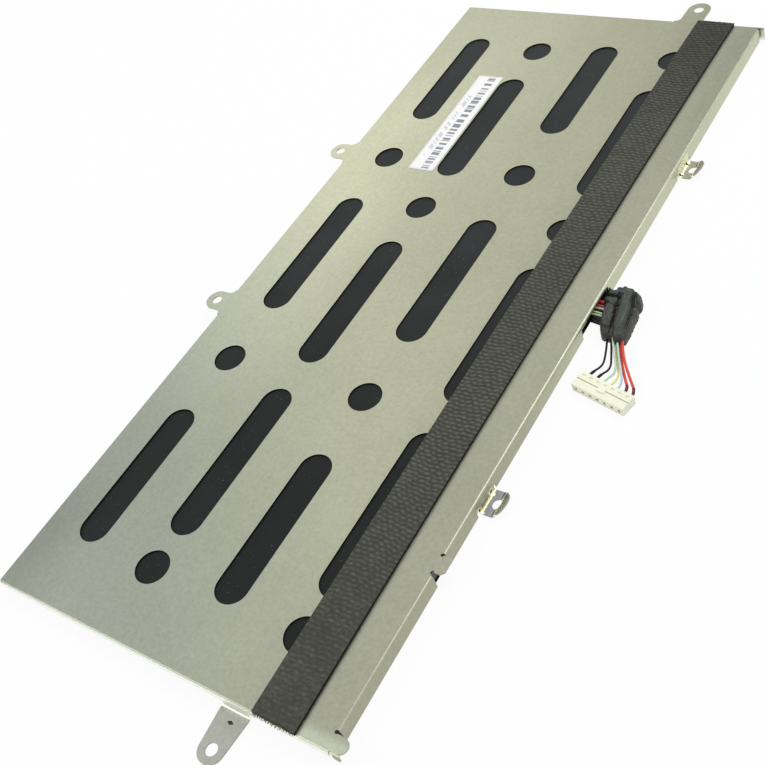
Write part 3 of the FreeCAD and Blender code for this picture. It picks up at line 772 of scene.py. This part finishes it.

# Seven insulated wires leave the board, come out of the window, turn inside the
# wrap and go to the plug: two black, three thin coloured and two thicker red. Each
# runs about 3 to 4 cm, from its solder joint to its crimp.
wire_routes = {
    # Each wire's diameter, length in metres, material slot, colour and points in millimetres.
    "black_1": (0.5, 0.0309, "wire_black", (12, 12, 13), (
        (38.7, -1.25, 2.1), (43.1, -1.25, 2.1), (49.3, -1.1, 1.6), (52.8, -1.5, 1.0), (54.5, -5.3, 1.0),
        (56.0, -9.4, 1.3), (56.9, -12.9, 1.4), (55.231, -15.008, 1.1), (54.642, -17.335, 1.1))),
    "black_2": (0.5, 0.0334, "wire_black", (12, 12, 13), (
        (38.7, -0.2, 2.1), (43.1, -0.2, 2.1), (49.3, -0.1, 1.6), (53.3, -0.4, 1.0), (55.2, -4.6, 1.0),
        (57.3, -9.2, 1.2), (59.0, -13.3, 1.4), (57.170, -15.499, 1.1), (56.581, -17.826, 1.1))),
    "green": (0.5, 0.0354, "wire_green", (206, 236, 206), (
        (38.7, 0.85, 2.1), (43.1, 0.85, 2.1), (49.3, 0.9, 1.9), (53.4, 0.7, 1.8), (55.4, -4.1, 1.8),
        (58.1, -9.3, 1.9), (60.7, -14.0, 1.6), (59.108, -15.990, 1.1), (58.520, -18.316, 1.1))),
    "yellow": (0.5, 0.0370, "wire_yellow", (250, 253, 168), (
        (38.7, 1.9, 2.1), (43.1, 1.9, 2.1), (49.3, 1.9, 1.6), (53.8, 1.7, 1.0), (55.8, -3.6, 1.0),
        (58.7, -9.6, 1.1), (61.5, -14.5, 1.2), (61.047, -16.480, 1.1), (60.459, -18.807, 1.1))),
    "blue": (0.5, 0.0390, "wire_blue", (204, 232, 234), (
        (38.7, 2.95, 2.1), (43.1, 2.95, 2.1), (49.3, 3.0, 1.9), (54.0, 2.8, 1.8), (56.0, -3.0, 1.8),
        (59.2, -9.5, 1.9), (62.3, -14.6, 1.8), (62.986, -16.971, 1.1), (62.397, -19.298, 1.1))),
    "red_1": (0.65, 0.0414, "wire_red", (236, 90, 72), (
        (38.7, 4.0, 2.025), (43.1, 4.0, 2.025), (49.3, 4.1, 1.5), (54.4, 3.9, 1.0), (56.5, -2.6, 1.0),
        (59.8, -9.7, 1.1), (63.2, -15.1, 1.2), (64.925, -17.461, 1.1), (64.336, -19.788, 1.1))),
    "red_2": (0.65, 0.0439, "wire_red", (236, 90, 72), (
        (38.7, 5.05, 2.025), (43.1, 5.05, 2.025), (49.3, 5.1, 1.9), (54.7, 5.0, 1.8), (56.9, -2.0, 1.8),
        (60.3, -9.5, 1.9), (64.4, -15.0, 1.6), (66.864, -17.952, 1.1), (66.276, -20.279, 1.1))),
}


def make_wire(name, diameter, points):
    curve = bpy.data.curves.new(name, "CURVE")
    curve.dimensions = "3D"
    spline = curve.splines.new("NURBS")
    spline.points.add(len(points) - 1)
    for place, point in zip(spline.points, points):
        place.co = (point[0] * MM, point[1] * MM, point[2] * MM, 1)
        place.radius = diameter / 2 * MM
    spline.order_u = 3
    spline.use_endpoint_u = True
    spline.resolution_u = 24
    curve.bevel_depth = 1
    curve.bevel_resolution = 5
    curve.use_fill_caps = True
    piece = bpy.data.objects.new(name, curve)
    bpy.context.scene.collection.objects.link(piece)
    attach(piece, "root")
    return piece


def insulation(colour):
    def look(shade):
        wear = shade.grain(0.8, detail=3)
        darker = [part * 0.86 for part in colour]
        return {
            "Base Color": wear.tint(seen(*darker), seen(*colour)),
            "Roughness": 0.38 + (wear - 0.5) * 0.15,
            "Specular IOR Level": 0.2,
            "Normal": shade.bump(shade.grain(2.0, detail=2), 0.015, 0.5),
        }
    return look


wires = {}
for name, (diameter, length, slot_name, colour, points) in wire_routes.items():
    wire = make_wire("lead_" + name, diameter, points)
    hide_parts("wire_" + name)
    paint([wire], "insulation_" + name, insulation(colour))
    wires[name] = wire

# Black cloth tape is wound round the wires where they turn, and folded flat over
# itself: a full roll with a baggy lobe beside it, creased where the layers meet.
# Its sticky side holds it, so its layers lie close and its edges are pinched.
wrap_floor = 0.05
wrap_corner = (47.8, -6.6)
wrap_reach = (12.0, 17.0)
wrap_cell = 0.14
wrap_voxel = 0.13
wrap_body_level = 2.45
wrap_tongue = (47.9, 51.0, -0.3, 9.1)
wrap_tongue_level = 1.0
wrap_facet_tilt = 0.5
wrap_outline = (
    (49.5, 8.3), (50.2, 9.3), (51.6, 9.9), (53.4, 9.8), (54.9, 9.7), (56.1, 9.2), (57.2, 8.1), (57.9, 6.8),
    (58.2, 5.6), (57.8, 4.6), (58.3, 3.5), (58.4, 1.5), (58.7, -1.3), (58.9, -3.8), (58.9, -4.9),
    (58.2, -5.1), (56.8, -5.2), (55.7, -5.2), (54.5, -5.1), (52.9, -4.6), (51.8, -3.2), (51.0, -1.1),
    (50.6, 0.6), (50.1, 2.5), (49.5, 3.9), (49.2, 6.0))
wrap_folds = (
    # Each fold is a list of places along it: x, y, half width, top level.
    ((53.3, 8.9, 1.3, 3.9), (54.3, 7.7, 1.5, 4.5), (55.0, 5.5, 1.7, 4.75), (55.8, 2.4, 1.95, 4.75),
     (56.2, -0.6, 1.9, 4.7), (56.8, -3.2, 1.75, 4.55), (57.2, -4.6, 1.6, 4.0)),
    ((51.6, 3.7, 1.6, 3.6), (52.1, 2.1, 1.95, 3.85), (52.6, -0.3, 1.95, 3.85), (53.2, -2.3, 1.75, 3.55),
     (53.8, -3.7, 1.5, 2.9)),
    ((49.9, 7.6, 0.8, 3.4), (51.6, 7.5, 1.4, 4.0), (53.1, 7.2, 1.5, 4.3)),
    ((50.1, 5.4, 1.0, 3.3), (51.8, 5.2, 1.4, 3.8), (53.3, 5.1, 1.3, 4.0)),
    ((51.5, 9.0, 0.8, 3.5), (53.0, 9.1, 0.9, 3.7), (54.7, 9.0, 1.0, 3.8)),
    ((55.8, 8.5, 1.0, 3.6), (56.7, 7.6, 1.15, 3.8), (57.2, 6.2, 1.05, 3.7), (57.2, 5.3, 0.85, 3.4)),
    ((57.5, 3.9, 0.9, 3.4), (57.6, 1.4, 0.95, 3.3), (57.9, -1.3, 0.95, 3.2), (58.2, -4.0, 0.8, 2.9)),
    ((49.2, 8.6, 0.35, 3.6), (49.9, 8.3, 0.45, 3.3), (50.8, 8.1, 0.6, 3.3)),
)
wrap_creases = (
    # Each crease is its half width, its depth and a list of places along it.
    (0.3, 1.0, ((52.6, 6.9), (53.2, 5.2), (53.7, 2.7), (54.3, 0.4), (54.7, -1.9), (55.3, -4.1))),
    (0.26, 0.8, ((55.7, 8.5), (56.2, 6.2), (56.9, 4.0), (57.4, 1.8), (57.6, -0.3), (57.9, -2.5))),
    (0.24, 0.7, ((50.3, 6.5), (51.5, 5.9), (52.6, 6.2), (53.5, 6.9))),
    (0.2, 0.5, ((50.6, 4.3), (51.7, 3.9), (53.1, 3.6))),
    (0.2, 0.6, ((51.6, -2.8), (53.0, -3.1), (54.8, -3.2))),
    (0.18, 0.5, ((56.3, 7.8), (57.1, 6.0), (57.6, 4.5))),
    (0.16, 0.35, ((54.2, 7.9), (54.6, 6.4), (54.3, 4.3))),
    (0.16, 0.3, ((51.4, 2.5), (52.0, 0.1), (52.9, -1.8))),
)


def near_line(x, y, places):
    """The distance from a point to a line of places, and the place's own numbers where it is nearest."""
    best = (1e9, places[0])
    for start, end in zip(places, places[1:]):
        run = (end[0] - start[0], end[1] - start[1])
        share = ((x - start[0]) * run[0] + (y - start[1]) * run[1]) / (run[0] ** 2 + run[1] ** 2)
        share = min(1, max(0, share))
        place = [a + (b - a) * share for a, b in zip(start, end)]
        away = math.hypot(x - place[0], y - place[1])
        if away < best[0]:
            best = (away, place)
    return best


def inside(x, y, outline):
    found = False
    for (x1, y1), (x2, y2) in zip(outline, outline[1:] + outline[:1]):
        if (y1 > y) != (y2 > y) and x < x1 + (x2 - x1) * (y - y1) / (y2 - y1):
            found = not found
    return found


def wrap_top(x, y):
    """The level of the wrap's upper side, or 0 beyond its outline."""
    body = 0
    if inside(x, y, wrap_outline):
        rim = near_line(x, y, wrap_outline + wrap_outline[:1])[0]
        body = wrap_body_level * min(1, 0.35 + rim / 0.9)
    # A flat tongue of tape lies under the wires where they leave the window.
    low_x, high_x, low_y, high_y = wrap_tongue
    if low_x < x < high_x and low_y < y < high_y:
        body = max(body, wrap_tongue_level)
    top = body
    for fold in wrap_folds:
        away, place = near_line(x, y, fold)
        share = away / place[2]
        if share < 1:
            top = max(top, place[3] * (1 - share ** 3) ** 0.45)
    if top > body:
        for half, depth, places in wrap_creases:
            away = near_line(x, y, places)[0]
            top -= depth * math.exp(-(away / half) ** 2)
        spot = Vector((x * 0.5, y * 0.32, 2.0))
        centre = noise.voronoi(spot)[1][0]
        top += wrap_facet_tilt * (spot - centre).dot(noise.noise_vector(centre * 3.7))
    return max(body, top)


def wrap_solid():
    """A closed mesh on a fine grid, from the wrap's floor up to wrap_top."""
    mesh = bmesh.new()
    tops = {}
    for i in range(round(wrap_reach[0] / wrap_cell)):
        for j in range(round(wrap_reach[1] / wrap_cell)):
            x, y = wrap_corner[0] + i * wrap_cell, wrap_corner[1] + j * wrap_cell
            level = wrap_top(x, y)
            if level > 0:
                upper = mesh.verts.new((x * MM, y * MM, level * MM))
                tops[i, j] = (upper, mesh.verts.new((x * MM, y * MM, wrap_floor * MM)))
    for i, j in tops:
        corners = [(i, j), (i + 1, j), (i + 1, j + 1), (i, j + 1)]
        if all(corner in tops for corner in corners):
            mesh.faces.new([tops[corner][0] for corner in corners])
            mesh.faces.new([tops[corner][1] for corner in reversed(corners)])
    partner = {upper: lower for upper, lower in tops.values()}
    for edge in [edge for edge in mesh.edges if len(edge.link_faces) == 1]:
        a, b = edge.verts
        if a in partner and b in partner:
            mesh.faces.new((a, b, partner[b], partner[a]))
    bmesh.ops.delete(mesh, geom=[vert for vert in mesh.verts if not vert.link_faces], context="VERTS")
    return mesh


def settled(piece, kind, **settings):
    """Adds a modifier of that kind and applies it to the piece's mesh."""
    modifier = piece.modifiers.new(kind.lower(), kind)
    for name, value in settings.items():
        setattr(modifier, name, value)
    graph = bpy.context.evaluated_depsgraph_get()
    changed = bpy.data.meshes.new_from_object(piece.evaluated_get(graph))
    piece.modifiers.clear()
    piece.data = changed


def crumple(piece):
    """Pushes fine creases into the tape, more across the winding than along it."""
    places = [(vertex.co / MM, vertex.normal.copy()) for vertex in piece.data.vertices]
    for vertex, (place, normal) in zip(piece.data.vertices, places):
        along = Vector((place.x * 1.0, place.y * 0.35, place.z * 1.0))
        long_crease = 1 - abs(noise.noise(along + Vector((4.0, 0, 0)))) * 2
        fine_crease = 1 - abs(noise.noise(place * 1.1)) * 2
        push = 0.14 * max(0, long_crease - 0.6) + 0.12 * max(0, fine_crease - 0.55)
        push -= 0.05 * noise.noise(place * 0.5)
        moved = place - normal * push
        moved.z = max(moved.z, wrap_floor)
        vertex.co = moved * MM


def folded_tape(shade):
    """The cloth tape again, with painted shade that makes its low folds darker and browner and a painted
    sheen that makes its crowns a lighter green-grey.
    """
    look = cloth_tape(shade)
    height = shade.place().axis("Z").between(2.6, 3.7)
    rub = shade.grain(0.9, detail=3)
    fold = rub.tint(seen(20, 18, 16), seen(42, 37, 34))
    crown_sheen = rub.tint(seen(24, 29, 26), seen(50, 60, 53))
    look["Base Color"] = height.tint(fold, crown_sheen)
    return look


# The seed makes its facets tilt the same way on each run.
noise.seed_set(5)
wrap = new_piece("cable_wrap", wrap_solid())
settled(wrap, "REMESH", mode="VOXEL", voxel_size=wrap_voxel * MM, use_smooth_shade=True)
settled(wrap, "SMOOTH", factor=0.5, iterations=3)
crumple(wrap)
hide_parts("tape_wrap")
paint([wrap], "folded_tape_black", folded_tape)

# The plug is moulded in cream nylon, with a low step across its top, a boss and a
# small window behind each of its seven ways. A gold-flashed terminal is crimped on
# each wire; behind the housing each crimp shows as a sleeve in half its wire's colour, partly the crimp
# and partly painted shade.
plug_front = (59.6, -22.2)
plug_inward = (0.2453, 0.9694)
plug_step = 2.1
plug_top_level = 2.3
step_shadow_width = 0.1
edge_round = 0.07
crimp_start = 0.8
crimp_ends = {
    # How far from the wire's end its crimp reaches, and how much thicker it is than the wire.
    "wire_black": (3.1, 1.4),
    "wire_red": (3.7, 1.15)}
other_crimp = (1.6, 1.4)
crimp_shape = ((0, 0.9), (0.05, 1.0), (0.3, 0.9), (0.5, 1.0), (0.75, 0.96), (0.92, 0.9), (1, 0.66))
crimp_sides = 14


def nylon(shade):
    place = shade.place()
    haze = shade.grain(0.3, detail=3)
    off_x = place.axis("X") - plug_front[0]
    off_y = place.axis("Y") - plug_front[1]
    inward = off_x * plug_inward[0] + off_y * plug_inward[1]
    aside = off_x * plug_inward[1] - off_y * plug_inward[0]
    # A thin olive-brown line painted along the step is its painted shadow.
    step_shadow = ((inward - plug_step).maths("ABSOLUTE") < step_shadow_width) * (aside.maths("ABSOLUTE") > 1.0)
    step_shadow = step_shadow * (place.axis("Z") > plug_top_level)
    cream = haze.tint(seen(236, 238, 212), seen(247, 249, 229))
    return {
        "Base Color": (step_shadow * 0.5).tint(cream, seen(176, 152, 104)),
        "Roughness": 0.42 + (haze - 0.5) * 0.2,
        "Subsurface Weight": 0.15,
        "Subsurface Radius": (0.001, 0.0009, 0.0006),
        "Subsurface Scale": 0.5,
        "Normal": shade.bump(shade.grain(3.0, detail=2), 0.008, 0.4),
    }


def gold_flash(shade):
    tarnish = shade.grain(1.4, detail=3)
    return {
        "Base Color": tarnish.tint(seen(96, 84, 36), seen(160, 136, 70)),
        "Metallic": 1.0,
        "Roughness": 0.25 + tarnish * 0.2,
        "Normal": shade.bump(tarnish, 0.01, 0.4),
    }


def line_of(wire, points):
    """The places along a wire's own smooth line, from the board to the plug, in millimetres."""
    bare = bpy.data.objects.new("bare_line", wire.data.copy())
    bare.data.bevel_depth = 0
    bare.data.use_fill_caps = False
    line = bpy.data.meshes.new_from_object(bare)
    places = [vertex.co / MM for vertex in line.vertices]
    bpy.data.meshes.remove(line)
    bpy.data.objects.remove(bare)
    return places if (places[0] - Vector(points[0])).length < 0.1 else places[::-1]


def back_along(places, distance):
    """The place at that distance back from the end of a line, and the line's heading there."""
    for ahead, behind in zip(places[::-1], places[-2::-1]):
        step = (behind - ahead).length
        if distance < step:
            return ahead.lerp(behind, distance / step), (behind - ahead).normalized()
        distance -= step
    return places[0], (places[0] - places[1]).normalized()


def make_crimp(name, diameter, places, end, swell):
    """A sleeve round the wire from the housing's back outwards, pinched in its middle and its end."""
    mesh = bmesh.new()
    rings = []
    for share, width in crimp_shape:
        middle, heading = back_along(places, crimp_start + (end - crimp_start) * share)
        aside = heading.cross(Vector((0, 0, 1))).normalized()
        up = aside.cross(heading)
        reach = diameter / 2 * swell * width
        ring = []
        for side in range(crimp_sides):
            angle = 2 * math.pi * side / crimp_sides
            corner = (aside * math.cos(angle) + up * math.sin(angle)) * reach
            ring.append(mesh.verts.new((middle + corner) * MM))
        rings.append(ring)
    join_rings(mesh, rings)
    return new_piece(name, mesh)


def softened(piece, width):
    """Rounds a moulded piece's edges with modifiers, which leave its own mesh as it is."""
    piece.modifiers.new("joined_corners", "WELD").merge_threshold = 0.001 * MM
    bevel = piece.modifiers.new("rounded_edges", "BEVEL")
    bevel.width = width * MM
    bevel.segments = 2
    bevel.limit_method = "ANGLE"
    bevel.angle_limit = math.radians(40)


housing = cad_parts["plug_housing"]
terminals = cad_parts["plug_terminals"]
softened(housing, edge_round)
paint([housing], "cream_nylon", nylon)
paint([terminals], "terminal_gold", gold_flash)

for name, (diameter, length, slot_name, colour, points) in wire_routes.items():
    wire = wires[name]
    end, swell = crimp_ends.get(slot_name, other_crimp)
    crimp = make_crimp("crimp_" + name, diameter, line_of(wire, points), end, swell)
    # Each crimp sleeve takes half its wire's colour: partly the crimp, partly painted shade at the
    # housing's back.
    paint([crimp], "crimp_shaded_" + name, insulation([part * 0.5 for part in colour]))

# The pack lies on a sheet of white studio paper, under two soft lamps and a pale sky.
# The paper looks plain white to the camera and in the metal, and still takes a shadow.
floor_half = 3.0
floor_level = -0.00003
floor_glow = 0.92
sky_for_light = 0.6


def stage_floor():
    mesh = bmesh.new()
    corners = [(-1, -1), (1, -1), (1, 1), (-1, 1)]
    mesh.faces.new([mesh.verts.new((x * floor_half, y * floor_half, floor_level)) for x, y in corners])
    data = bpy.data.meshes.new("studio_floor")
    mesh.to_mesh(data)
    mesh.free()
    floor = bpy.data.objects.new("studio_floor", data)
    bpy.context.scene.collection.objects.link(floor)
    return floor


def looked_at(shade):
    """1 for rays from the camera and for those that metal and glass send on."""
    rays = ("Is Camera Ray", "Is Glossy Ray", "Is Transmission Ray")
    camera_ray, glossy_ray, glass_ray = (shade.add("LightPath", out=name) for name in rays)
    return camera_ray.maths("MAXIMUM", glossy_ray).maths("MAXIMUM", glass_ray)


floor = stage_floor()
floor_material = bpy.data.materials.new("white_floor")
floor_material.use_nodes = True
floor_material.node_tree.nodes.clear()
shade = Shade(floor_material.node_tree)
paper = shade.add("BsdfDiffuse", None, {"Color": (0.9, 0.9, 0.9, 1)})
glow = shade.add("Emission", None, {"Color": (1, 1, 1, 1), "Strength": 1})
surface = shade.add("MixShader", None, {0: looked_at(shade) * floor_glow, 1: paper, 2: glow})
shade.add("OutputMaterial", None, {"Surface": surface})
floor.data.materials.append(floor_material)

world = bpy.data.worlds.new("pale_sky")
world.use_nodes = True
world.node_tree.nodes.clear()
shade = Shade(world.node_tree)
sky_strength = looked_at(shade) * (1 - sky_for_light) + sky_for_light
sky = shade.add("Background", None, {"Color": (1, 1, 1, 1), "Strength": sky_strength})
shade.add("OutputWorld", None, {"Surface": sky})
bpy.context.scene.world = world


def lamp(name, direction, distance, size, radiance):
    """A square soft lamp that faces the pack. Its radiance is 1 where it would look plain white."""
    data = bpy.data.lights.new(name, "AREA")
    data.shape = "SQUARE"
    data.size = size
    data.energy = radiance * math.pi * size * size
    made = bpy.data.objects.new(name, data)
    made.location = Vector(direction).normalized() * distance
    made.rotation_euler = Vector(direction).to_track_quat("Z", "Y").to_euler()
    bpy.context.scene.collection.objects.link(made)
    return made


lamp("key_lamp", direction=(0.28, 0.5, 0.82), distance=1.0, size=0.5, radiance=5.0)
lamp("side_lamp", direction=(-0.62, -0.42, 0.66), distance=1.0, size=0.4, radiance=4.0)

camera_data = bpy.data.cameras.new("camera")
camera_data.lens = 50.78
camera_data.sensor_width = 36
camera_data.clip_start = 0.01
camera = bpy.data.objects.new("camera", camera_data)
camera.location = (0.1480, -0.1519, 0.1851)
camera.rotation_euler = [math.radians(angle) for angle in (42.318, 16.837, 31.930)]
bpy.context.scene.collection.objects.link(camera)
bpy.context.scene.camera = camera
bpy.context.scene.view_settings.view_transform = "Standard"
